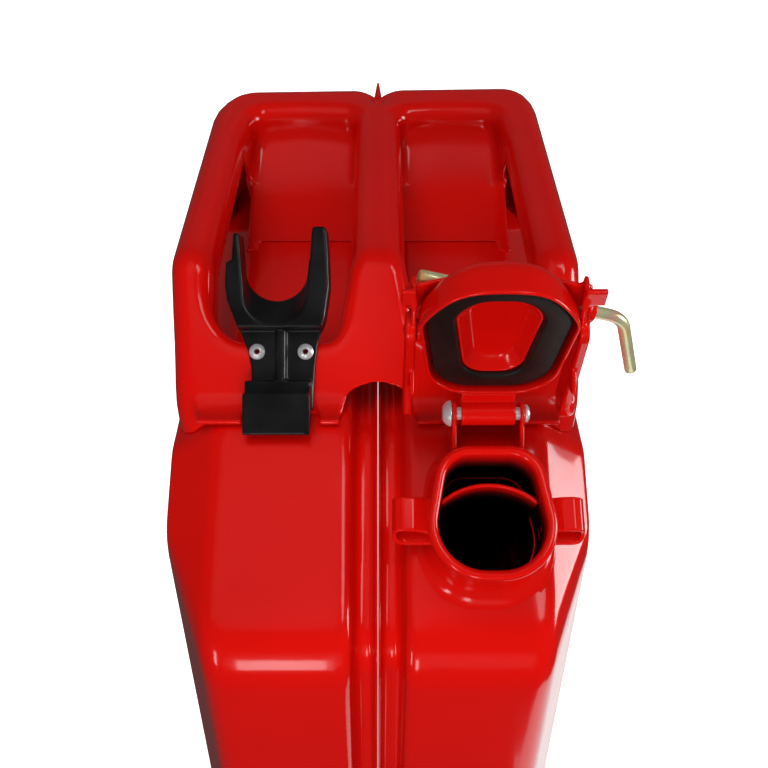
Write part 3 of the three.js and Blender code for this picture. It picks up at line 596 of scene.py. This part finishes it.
def handle_field(x, y, z):
    """The pressed sheet: side view and plan rounded together, with two windows and the hollow cut out."""
    near, far = HANDLE_NEAR - LEG_RUN, HANDLE_FAR + FAR_RUN
    foot = 2 * BODY_TOP - HANDLE_TOP
    lift = smooth((z - BODY_TOP) / (HANDLE_TOP - BODY_TOP))
    across = np.where(x < 0, x * HANDLE_HALF / (80.6 + 2.3 * lift), x * HANDLE_HALF / (79.8 + 0.8 * lift))
    along = y - 0.035 * x * smooth((y - 60) / 50)
    side = polygon(
        along, z,
        outline(
            [(near - LEG_RUN, foot), (far + FAR_RUN, foot),
             (HANDLE_FAR, HANDLE_TOP), (HANDLE_NEAR, HANDLE_TOP)],
            [1.0, 1.0, 20.0, 16.0],
        ),
    )
    side = side + 4.5 * np.clip(1 - np.abs(x) / 13, 0, 1) ** 2 * smooth((y - 92) / 18)
    plan = polygon(
        across, along,
        outline(
            [(-HANDLE_HALF, near - 7), (HANDLE_HALF, near - 7),
             (HANDLE_HALF, far - 6), (-HANDLE_HALF, far - 6)],
            [20.0, 20.0, 42.0, 48.0],
        ),
    )
    bar = 11.0 + 5.0 * smooth((-40 - y) / 26)
    reach = np.where(x < 0, -x * 62 / 65.0, x)
    window = polygon(reach, y, outline([(0, -66), (62, -66), (62, 92), (0, 92)], [1.0, 12.0, 9.0, 1.0]))
    window = window + 2.5 * smooth((y - 60) / 30) * (np.abs(x) - 37) ** 2 / 600
    window = both(window, bar - np.abs(x), 5.0)
    solid = both(side, np.maximum(plan, -window), 8.4)
    sheet = np.maximum(solid, -(solid + 2.0))
    sheet = np.maximum(sheet, -(side + 15.0 + 45.0 * smooth((y - 62) / 24)))
    dish = (z - BODY_TOP - 33 * np.clip((y - 30) / 62, 0, 1) ** 2) * 0.8
    dish = np.maximum(np.maximum(dish, 31 - y), np.maximum(side + 2, np.abs(x) - 64))
    sheet = joined(sheet, dish, 6.0)
    notch = (np.hypot(x / 15.0, (z - BODY_TOP) / 8.8) - 1) * 8.8
    sheet = cut(sheet, np.maximum(notch, y + 60), 1.0)
    flange = both(slab(y, near - 6.5, near + 4), slab(z, BODY_TOP + 0.1, BODY_TOP + 2.3), 1.0)
    flange = np.maximum(flange, np.maximum(np.abs(x) - 70, 15 - np.abs(x - CLIP_X)))
    flange = np.maximum(flange, 14 - np.abs(x - NECK_X))
    flange = np.maximum(flange, 15 - np.abs(x))
    sheet = joined(sheet, flange, 5.0)
    return both(sheet, BODY_TOP + 0.1 - body_drop(x) - z, 0.3)


def seam_tab_field(x, y, z):
    """The end of the seam flange, standing up through the far bar to a thin edge."""
    blade = polygon(
        y, z, [(104, 424), (136, 424), (130, 450), (125.5, 467), (123.5, 469.5), (119, 466), (112, 456)]
    )
    return both(blade, np.abs(x) - 2.2 + 1.7 * smooth((z - 456) / 15), 0.3)


carve(
    "carry_handle_pressing", handle_field,
    (-84, HANDLE_NEAR - LEG_RUN - 22, BODY_TOP - 17), (84, HANDLE_FAR + FAR_RUN + 3, HANDLE_TOP), 0.8,
    material=PAINT, body="can", slot="red_paint", nodes=("carry_handle",), place=CAN_FRAME,
)
carve(
    "seam_flange_end", seam_tab_field, (-3, 103, 423), (3, 137, 474), 0.5,
    material=PAINT, body="can", slot="red_paint", nodes=("body_half_left", "body_half_right"),
    place=CAN_FRAME,
)


# ---- neck, baffle, ears, bracket ----
def neck_piece():
    """Rings up the flared outside, round the rolled lip and down the inner wall, whose paint darkens
    downwards as painted shade.
    """
    path = []
    for turn in np.linspace(0, math.pi / 2, 14):
        flare = 1 - math.sin(turn)
        path.append((2.2, -0.25 + 12.5 * (1 - math.cos(turn)), 1 + 0.30 * flare, 1 + 0.48 * flare))
    path += [(2.2, height, 1, 1) for height in (18, 24, 25.9)]
    for angle in np.linspace(-90, 100, 13):
        turn = math.radians(angle)
        path.append((2.0 - 2.0 * math.cos(turn), 28.0 + 2.0 * math.sin(turn), 1, 1))
    inner_wall = [(3.3, 29.6), (3.7, 28.6), (3.8, 27), (3.8, 22), (3.8, 10), (3.8, 2), (3.8, -3.0), (3.0, -3.0),
              (2.9, -0.8)]
    path += [(inset, height, 1, 1) for inset, height in inner_wall]
    rings = [
        at_height(neck_ring(inset, 12) * np.array([grow_x, grow_y]), height)
        for inset, height, grow_x, grow_y in path
    ]
    points, faces = loft(rings, closed=True)
    piece = new_object(
        "spout_neck_tube", points, faces, PAINT, "can", "red_paint", ("spout_neck",), SHOULDER_FRAME
    )
    # The inner wall's faces get red paint with painted shade, darker further down into the neck.
    piece.data.materials.append(paint_with_painted_shade("neck_painted_shade", 29.0, 13.0))
    painted_shade_start = (len(path) - len(inner_wall)) * len(rings[0])
    for face in piece.data.polygons:
        face.material_index = 1 if face.index >= painted_shade_start else 0


neck_piece()


def baffle_field(x, y, z):
    arc = np.abs(np.hypot(x, y + 12.7) - 26.0) - 0.7
    arc = np.maximum(np.maximum(arc, np.abs(x) - 17.0), -y)
    return both(arc, slab(z, -12, 22), 0.5)


# The baffle inside the neck gets red paint with painted shade, darker lower down.
carve(
    "vent_baffle_sheet", baffle_field, (-18, 5, -13), (18, 15, 23), 0.5,
    material=paint_with_painted_shade("baffle_painted_shade", 23.0, 8.0), body="can", slot="red_paint", nodes=("vent_baffle",),
    place=SHOULDER_FRAME,
)


def ear_field(x, y, z):
    """A bent strip: out from the neck along an S, round a curl and back in underneath."""
    chain = [(18, 15.6), (22, 15.8), (24.5, 16.9), (27, 17.9), (30.5, 18.2), (32.6, 17.2), (33.6, 15.2),
             (33.6, 13.2), (32.6, 11.2), (30.5, 10.2), (26, 9.9), (18, 9.7)]
    strip = polyline(x, z, chain) - 0.85
    front = -2.6 - 3.2 * smooth((17 - z) / 7)
    return both(np.maximum(strip, 18.6 - x), np.maximum(front - y, y - 9.9), 0.6)


for side_name, side in SIDES:
    carve(
        "ear_loop_" + side_name, lambda x, y, z, s=side: ear_field(s * x, y, z),
        (min(18 * side, 35 * side), -7, 8), (max(18 * side, 35 * side), 11, 20), 0.45,
        material=PAINT, body="can", slot="red_paint", nodes=("ear_" + side_name,), place=SHOULDER_FRAME,
    )


def bracket_field(x, y, z):
    cheek = polygon(
        y, z,
        [(24.2, 1), (44, 1), (HINGE_Y + 4.6, HINGE_Z), (HINGE_Y + 2.6, HINGE_Z + 4),
         (HINGE_Y - 2.6, HINGE_Z + 4), (HINGE_Y - 5, HINGE_Z + 1), (26.5, HINGE_Z - 2), (24.2, HINGE_Z - 4)],
    )
    plates = both(cheek, slab(np.abs(x), 11.3, 13.0), 0.6)
    floor = block(x, y, z, (-12, 24.3, 8), (12, 26.0, HINGE_Z - 6), 0.5)
    floor = joined(floor, block(x, y, z, (-12, 24.3, 7.5), (12, 44, 9.2), 0.5), 1.5)
    pin = np.hypot(y - HINGE_Y, z - HINGE_Z) - 2.5
    return np.maximum(joined(plates, floor, 1.5), -pin)


carve(
    "hinge_bracket_channel", bracket_field, (-14, 23, 0), (14, 45, 32), 0.45,
    material=PAINT, body="can", slot="red_paint", nodes=("hinge_bracket",), place=SHOULDER_FRAME,
)


def hinge_pin_field(x, y, z):
    shaft = rod(y, z, x, (HINGE_Y, HINGE_Z), 2.3, -15, 15)
    head = np.hypot(np.hypot(y - HINGE_Y, z - HINGE_Z), x + 12) - 5.0
    head = both(head, slab(x, -16.4, -13.2), 0.2)
    tail = rod(y, z, x, (HINGE_Y, HINGE_Z), 3.2, 13.2, 14.5)
    return np.minimum(np.minimum(shaft, head), tail)


carve(
    "hinge_pin_rivet", hinge_pin_field, (-17, 33, 21), (16, 44, 32), 0.35,
    material=STEEL, body="can", slot="rivet_steel", nodes=("hinge_pin",), place=SHOULDER_FRAME,
)


# ---- lid ----
def crowned(flat, bulge=6.0):
    """The lid's free edge drawn out into a shallow arch."""
    share = (np.minimum(np.abs(flat[:, 0]), 27.0) / 27.0) ** 2 * smooth((-flat[:, 1] - 42) / 18)
    return flat + np.column_stack([np.zeros(len(flat)), bulge * share])


def even_outline(corners, radii, inset):
    """An outline of four corners whose edges are each split into the same number of pieces."""
    return split_outline(corner_arcs(corners, radii, inset, 10), [12] * 4)


def lid_ring(inset):
    return crowned(even_outline(LID_CORNERS, LID_RADII, inset))


def lid_cap(path):
    """path holds (inset, height, share): share above zero draws the ring in towards the lid's middle."""
    middle = np.array([0.0, -38.0])
    rings = []
    for inset, height, share in path:
        flat = lid_ring(inset)
        flat = flat + (middle - flat) * share
        dome = np.clip(1 - (flat[:, 0] / 28) ** 2, 0, 1) * smooth((-flat[:, 1] - 28) / 26)
        rings.append(np.column_stack([flat, height + 5.0 * dome * min(max((height - 5) / 8.5, 0), 1)]))
    points, faces = loft(rings, cap_start=True, cap_end=True)
    new_object("lid_cap", points, faces, PAINT, "lid", "red_paint", ("lid_shell",), LID_FRAME)


def arc_path(centre_inset, centre_height, radius, first, last, steps):
    """Rings round a bend; at 0 degrees the ring is at its widest, and 90 degrees points up."""
    rows = []
    for angle in np.linspace(math.radians(first), math.radians(last), steps):
        rows.append((centre_inset - radius * math.cos(angle), centre_height + radius * math.sin(angle), 0))
    return rows


lid_path = [(8.0, 11.0, 0.95), (8.0, 11.0, 0.4), (6.0, 11.0, 0)]
lid_path += [(2.2, 10.9, 0), (1.5, 10.2, 0), (1.3, 9.0, 0), (1.25, 5.0, 0), (1.25, LID_LIP + 0.6, 0)]
lid_path += arc_path(0.65, LID_LIP + 0.6, 0.65, 180, 360, 7)[1:]
lid_path += [(0, 4.5, 0), (0, 8.0, 0)]
lid_path += arc_path(4.2, LID_TOP - 4.6, 4.2, 4, 84, 9)
lid_path += [(7.0, LID_TOP - 0.28, 0), (11.0, LID_TOP - 0.18, 0)]
lid_path += [(14.0, LID_TOP - 0.1, 0.3), (14.0, LID_TOP, 0.9)]
lid_cap(lid_path)


def dish_ring(share, inset=0.0):
    """From the dish's rim, share 0, to the edge of its floor, share 1."""
    rim = crowned(even_outline(DISH_CORNERS, [10.0, 10.0, 8.5, 8.5], inset))
    return rim + (crowned(even_outline(DISH_FLOOR, [7.0, 7.0, 5.0, 5.0], 0.0)) - rim) * share


GASKET_ROUND, GASKET_LOW, GASKET_HIGH = 1.2, 5.4, 6.9
gasket_rings = []
for height, first in ((GASKET_LOW, 270), (GASKET_HIGH, 0)):
    for inset, up, _ in arc_path(3.5, height, GASKET_ROUND, first, first + 90, 5):
        gasket_rings.append(at_height(lid_ring(inset), up))
for height, first in ((GASKET_HIGH, math.pi / 2), (GASKET_LOW, math.pi)):
    for turn in np.linspace(first, first + math.pi / 2, 5):
        rim = dish_ring(0, 1.1 - GASKET_ROUND * (2 + math.cos(turn)))
        gasket_rings.append(at_height(rim, height + GASKET_ROUND * math.sin(turn)))
points, faces = loft(gasket_rings, closed=True)
new_object("lid_gasket_ring", points, faces, RUBBER, "lid", "gasket_rubber", ("lid_gasket",), LID_FRAME)

dish_profile = [(0.0, 8.6), (0.0, 6.9), (0.01, 6.3), (0.05, 5.9), (0.11, 5.8), (0.17, 6.0), (0.24, 6.5)]
dish_profile += [(0.40, 7.5), (0.60, 8.7), (0.78, 9.6), (0.90, 9.95), (1.0, 10.05)]
middle = np.array([0.0, -38.5])
dish_rings = [at_height(middle + (dish_ring(0) - middle) * size, 10.9) for size in (0.05, 0.6, 1.0)]
dish_rings += [at_height(dish_ring(share), height) for share, height in dish_profile]
dish_rings += [at_height(middle + (dish_ring(1) - middle) * size, 10.1) for size in (0.8, 0.45, 0.05)]
points, faces = loft(dish_rings, cap_start=True, cap_end=True)
new_object(
    "gasket_retainer_dish", points, faces, PAINT, "lid", "red_paint", ("gasket_retainer",), LID_FRAME
)


def strap_field(x, y, z):
    curl = np.abs(np.hypot(y, z) - 3.45) - 0.85
    strip = polygon(
        y, z,
        [(0, 2.7), (-7.6, 2.7), (-9.1, 4.0), (-9.1, 13.8), (-40, 13.8), (-40, 15.3), (-9.0, 15.3),
         (-7.6, 13.9), (-7.6, 5.0), (-6.6, 4.2), (0, 4.3)],
    )
    return both(joined(curl, strip, 0.8), np.abs(x) - 9.75, 0.5)


carve(
    "lid_hinge_strap_sheet", strap_field, (-10, -41, -5), (10, 5, 16), 0.4,
    material=PAINT, body="lid", slot="red_paint", nodes=("lid_hinge_strap",), place=LID_FRAME,
)


def stud_field(x, y, z):
    reach = np.hypot(y - LEVER_PIVOT_Y, z - LEVER_PIVOT_Z)
    shoulder = both(reach - 4, slab(x, 24.9, 26.7), 0.4)
    shank = both(reach - 2.3, slab(x, 25, 30.2), 0.2)
    head = both(np.hypot(reach, x - 26.3) - 4.9, slab(x, 28.9, 31.4), 0.3)
    washer = both(reach - 4.9, slab(x, 28.8, 29.6), 0.3)
    return np.minimum(np.minimum(np.minimum(shoulder, shank), washer), np.maximum(head, reach - 3.7))


for side_name, side in SIDES:
    carve(
        "lever_stud_" + side_name, lambda x, y, z, s=side: stud_field(s * x, y, z),
        (min(24 * side, 32 * side), -44, 3), (max(24 * side, 32 * side), -32, 15), 0.35,
        material=PAINT, body="lid", slot="red_paint", nodes=("lever_pivot_" + side_name,), place=LID_FRAME,
    )


# ---- lever, bush and lock pin ----
def lever_field(x, y, z):
    """Two channelled arms with hooks at one end, joined by a web across the other."""
    t = -y
    wide = np.abs(x)
    plate = slab(wide, 27.0, 28.6)
    bar = polygon(t, z, outline([(-10, 3), (44, 3), (44, 15), (-10, 15)], 5.9))
    channel = both(bar, slab(wide, 27.0, 30.4), 0.6)
    channel = cut(channel, both(bar + 1.7, slab(wide, 28.6, 40), 0.5), 0.4)
    cover = polygon(t, z, [(38, 5), (44, 6), (57, 12.4), (57, 16.6), (42, 16.6), (38, 12)])
    hook = polygon(t, z, [(12, 6), (25, 6), (20.9, -1.2), (18.5, -4.0), (16.1, -1.9)]) - 0.2
    root = polygon(t, z, [(25, 13), (43, 13), (40, 20.6), (29, 20.6)])
    pin = np.hypot(y - PIN_AT[1], z - PIN_AT[2])
    lobe = np.where(x > 0, joined(pin - 6.5, root, 3.0), 99.0)
    side_plate = joined(joined(cover, hook, 1.0), lobe, 3.0)
    lever = joined(channel, both(side_plate, plate, 0.6), 0.6)
    tab = both(polygon(t, z, [(50, 9.4), (57, 9.4), (57, 11.2), (50, 11.2)]), slab(x, -32.0, 36.5), 0.7)
    tab = np.maximum(tab, 27.2 - wide)
    arch = z - 5.0 * np.clip(1 - (x / 28) ** 2, 0, 1)
    web = block(wide, t, arch, (-1, 42, 14.8), (30.6, 53, 16.6), 0.8)
    heel = both(np.hypot(t + 5, z - LEVER_PIVOT_Z) - 6.0, slab(x, 27.4, 32.6), 2.0)
    lever = joined(joined(joined(lever, tab, 1.5), web, 2.0), heel, 1.5)
    pivot = np.hypot(y - LEVER_PIVOT_Y, z - LEVER_PIVOT_Z) - 2.55
    return np.maximum(np.maximum(lever, -pivot), 3.4 - pin)


carve(
    "clamp_lever_yoke", lever_field, (-33, -58, -5), (33, 11, 28), 0.5,
    material=PAINT, body="lever", slot="red_paint", nodes=("clamp_lever",), place=LID_FRAME,
)


def bush_field(x, y, z):
    reach = np.hypot(y, z)
    base = both(reach - 5.2, slab(x, 2.9, 4.5), 0.5)
    boss = both(reach - 4.2, slab(x, 2.9, 6.9), 0.6)
    groove = np.hypot(reach - 4.4, x - 4.8) - 0.35
    return np.maximum(np.maximum(np.minimum(base, boss), -groove), -(reach - 2.6))


carve(
    "pin_guide_boss", bush_field, (2, -6.0, -6.0), (7.5, 6.0, 6.0), 0.3,
    material=PAINT, body="lever", slot="red_paint", nodes=("pin_guide_bush",), place=PIN_FRAME,
)


def lock_pin_piece():
    """A bent round rod: straight shaft, one bend, a leg with chamfered ends."""
    radius, leg_angle, leg = 2.25, math.radians(56), 27.0
    way = np.array([math.cos(leg_angle), math.sin(leg_angle)])
    start, corner = np.array([12.4, 0.0]), np.array([18.4, 0.0])
    finish = corner + 6 * way
    centre_line = [(-56.6 + 69 * s, 0.0) for s in np.linspace(0, 1, 12)[:-1]]
    for s in np.linspace(0, 1, 16):
        centre_line.append(tuple(bend(start, corner, finish, s)))
    centre_line += [tuple(finish + way * leg * s) for s in np.linspace(0, 1, 8)[1:]]
    line = np.array(centre_line)
    tangent = np.gradient(line, axis=0)
    tangent /= np.linalg.norm(tangent, axis=1)[:, None]
    normal = np.column_stack([-tangent[:, 1], tangent[:, 0]])
    angles = np.linspace(0, 2 * math.pi, 28, endpoint=False)
    last = len(line) - 1

    def ring(i, shift, size):
        spot = line[i] + tangent[i] * shift
        flat = spot[None, :] + normal[i][None, :] * (size * np.cos(angles))[:, None]
        return np.column_stack([flat, size * np.sin(angles)])

    rings = [ring(0, 0.0, radius * 0.3), ring(0, 0.0, radius - 0.7)]
    rings += [ring(0, 0.15, radius - 0.45), ring(0, 0.7, radius)]
    rings += [ring(i, 0.0, radius) for i in range(1, last)]
    rings += [ring(last, -0.7, radius), ring(last, -0.15, radius - 0.45)]
    rings += [ring(last, 0, radius - 0.7), ring(last, 0.0, radius * 0.3)]
    points, faces = loft(rings, cap_start=True, cap_end=True)
    new_object("lock_pin_rod", points, faces, ZINC, "lock_pin", "zinc_yellow", ("lock_pin",), PIN_FRAME)


lock_pin_piece()


# ---- spout holder clip and its rivets ----
def clip_field(x, y, z):
    """A flat plate with a raised fork at its upper end and a folded pocket at its lower end."""
    shape = [(-11.5, 2), (12.5, 2), (13, 18), (14.2, 28), (17.2, 37), (18.8, 49), (18.4, 62), (17.6, 71.6),
             (16.4, 72.4), (11.0, 72.4), (11.0, 60), (-12, 60), (-12, 69.8), (-18.3, 69.8), (-18.9, 59.6),
             (-21.0, 58.4), (-21.5, 50), (-20.6, 44), (-12.9, 24), (-11.7, 18)]
    body = polygon(x, y, shape)
    plate = both(body, slab(z, 0.3, 3.3), 0.8)
    fork = both(np.maximum(body, 33 - y), slab(z, 0.3, 10), 1.2)
    bottom = 57.3 - 1.13 * z
    beside = np.abs(x + 2.1)
    saddle = np.where(y > bottom, beside - 0.09 * (y - bottom), np.hypot(beside, y - bottom)) - 12.0
    rib = block(x, y, z, (-2.0, 11, 1), (2.0, 36, 6.0), 1.8)
    pocket = polygon(
        y, z,
        [(1, 0.6), (4, 0.6), (4, 3.0), (13, 3.3), (13, 6), (-1.5, 6), (-1.5, 9), (8, 9), (8, 12), (-8, 12),
         (-8, 9.5), (-6, 8), (-3.5, 5)],
    )
    pocket = both(pocket, slab(x, -14, 11.5), 0.6)
    wall = both(polygon(y, z, [(0, 3), (12, 3), (7, 12), (-8, 12)]), slab(x, 10.0, 11.6), 0.5)
    clip = joined(joined(plate, fork, 1.5), joined(rib, joined(pocket, wall, 0.6), 1.0), 1.0)
    holes = np.hypot(np.abs(x) - RIVET_X, y - RIVET_Y) - 1.95
    return np.maximum(cut(clip, saddle, 1.2), -holes)


carve(
    "spout_holder_moulding", clip_field, (-22, -9, 0), (20, 73, 13), 0.5,
    material=PLASTIC, body="can", slot="clip_plastic", nodes=("spout_holder_clip",), place=LEG_FRAME,
)


def rivet_field(x, y, z):
    reach = np.hypot(x, y)
    dome = both(np.hypot(reach, z - 1.0) - 4.1, slab(z, 3.5, 5.2), 0.15)
    dome = np.maximum(dome, reach - 3.2)
    shank = both(reach - 1.7, slab(z, -2.2, 4), 0.1)
    bulb = np.hypot(reach, (z + 4) * 1.1) - 2.7
    bulb = np.maximum(bulb, z + 2.0)
    hole = np.maximum(reach - 1.1, -3.5 - z)
    return np.maximum(np.minimum(np.minimum(dome, shank), bulb), -hole)


for side_name, side in SIDES:
    carve(
        "blind_rivet_" + side_name, rivet_field, (-3.4, -3.4, -6.8), (3.4, 3.4, 5.4), 0.22,
        material=STEEL, body="can", slot="rivet_steel", nodes=("clip_rivet_" + side_name,),
        place=LEG_FRAME @ Matrix.Translation((RIVET_X * side, RIVET_Y, 0)),
    )

tube_materials = frame["nodes"]["breather_tube"].data.materials
tube_materials.clear()
tube_materials.append(tube_steel())


# ---- studio ----
def studio_floor():
    size, cells = 30.0, 2
    mesh = bpy.data.meshes.new("studio_floor")
    steps = np.linspace(-size, size, cells + 1)
    points = [(x, y, 0.0) for y in steps for x in steps]
    row = cells + 1
    corners = [r * row + c for r in range(cells) for c in range(cells)]
    faces = [[corner, corner + 1, corner + row + 1, corner + row] for corner in corners]
    mesh.from_pydata(points, [], faces)
    material = bpy.data.materials.new("studio_floor")
    material.use_nodes = True
    shader = material.node_tree.nodes["Principled BSDF"]
    shader.inputs["Base Color"].default_value = (0.9, 0.9, 0.9, 1)
    shader.inputs["Roughness"].default_value = 0.8
    shader.inputs["Emission Color"].default_value = (1, 1, 1, 1)
    shader.inputs["Emission Strength"].default_value = 0.97
    mesh.materials.append(material)
    piece = bpy.data.objects.new("studio_floor", mesh)
    bpy.context.scene.collection.objects.link(piece)
    piece.visible_glossy = False
    piece.visible_diffuse = False


studio_floor()


def softbox(name, spot, target, width, height, power, glossy=True, diffuse=True):
    light = bpy.data.lights.new(name, "AREA")
    light.shape = "RECTANGLE"
    light.size, light.size_y = width, height
    light.energy = power
    lamp = bpy.data.objects.new(name, light)
    lamp.location = spot
    lamp.rotation_euler = (Vector(target) - Vector(spot)).to_track_quat("-Z", "Y").to_euler()
    lamp.visible_glossy = glossy
    lamp.visible_diffuse = diffuse
    lamp.visible_camera = False
    bpy.context.scene.collection.objects.link(lamp)


softbox("overhead_fill", (-0.3, -0.6, 1.9), (0, 0, 0.3), 1.0, 1.0, 13, glossy=False)
softbox("front_fill", (0.1, -1.7, 0.45), (0, 0, 0.2), 1.0, 0.6, 17, glossy=False)
softbox("rear_fill", (-0.2, 1.7, 1.1), (0, 0, 0.3), 1.2, 1.0, 11, glossy=False)
softbox("front_softbox", (-0.14, -1.2, 0.30), (-0.04, -0.17, 0.31), 0.15, 0.30, 0.8)
softbox("high_softbox", (0.5, -0.5, 1.6), (0, 0, 0.4), 0.3, 0.5, 1.4)
softbox("right_softbox", (1.1, -0.12, 0.58), (0.05, -0.12, 0.38), 0.40, 0.50, 6.0)
softbox("left_softbox", (-0.7, -1.2, 0.40), (-0.05, 0, 0.3), 0.14, 0.4, 1.4)
softbox("right_floor_card", (0.24, 0.1, 0.004), (0.24, 0.1, 1.0), 0.26, 0.9, 0.7, diffuse=False)

world = bpy.data.worlds.new("studio")
bpy.context.scene.world = world
world.use_nodes = True
background = world.node_tree.nodes["Background"]
background.inputs["Color"].default_value = (1.0, 0.98, 0.97, 1)
background.inputs["Strength"].default_value = 0.05

SENSOR = 36.0
FOCAL_SHARE = 1004 / 768  # focal length over picture width
camera_data = bpy.data.cameras.new("camera")
camera_data.sensor_width = SENSOR
camera_data.lens = FOCAL_SHARE * SENSOR
camera = bpy.data.objects.new("camera", camera_data)
bpy.context.scene.collection.objects.link(camera)
camera_data.shift_x = 6 / 768
camera.location = (SEAM_X * MM, -0.3846, 0.6818)
camera.rotation_euler = (math.radians(90 - 39.4), 0, 0)
bpy.context.scene.camera = camera

bpy.context.scene.view_settings.view_transform = "Standard"
bpy.context.scene.view_settings.look = "None"
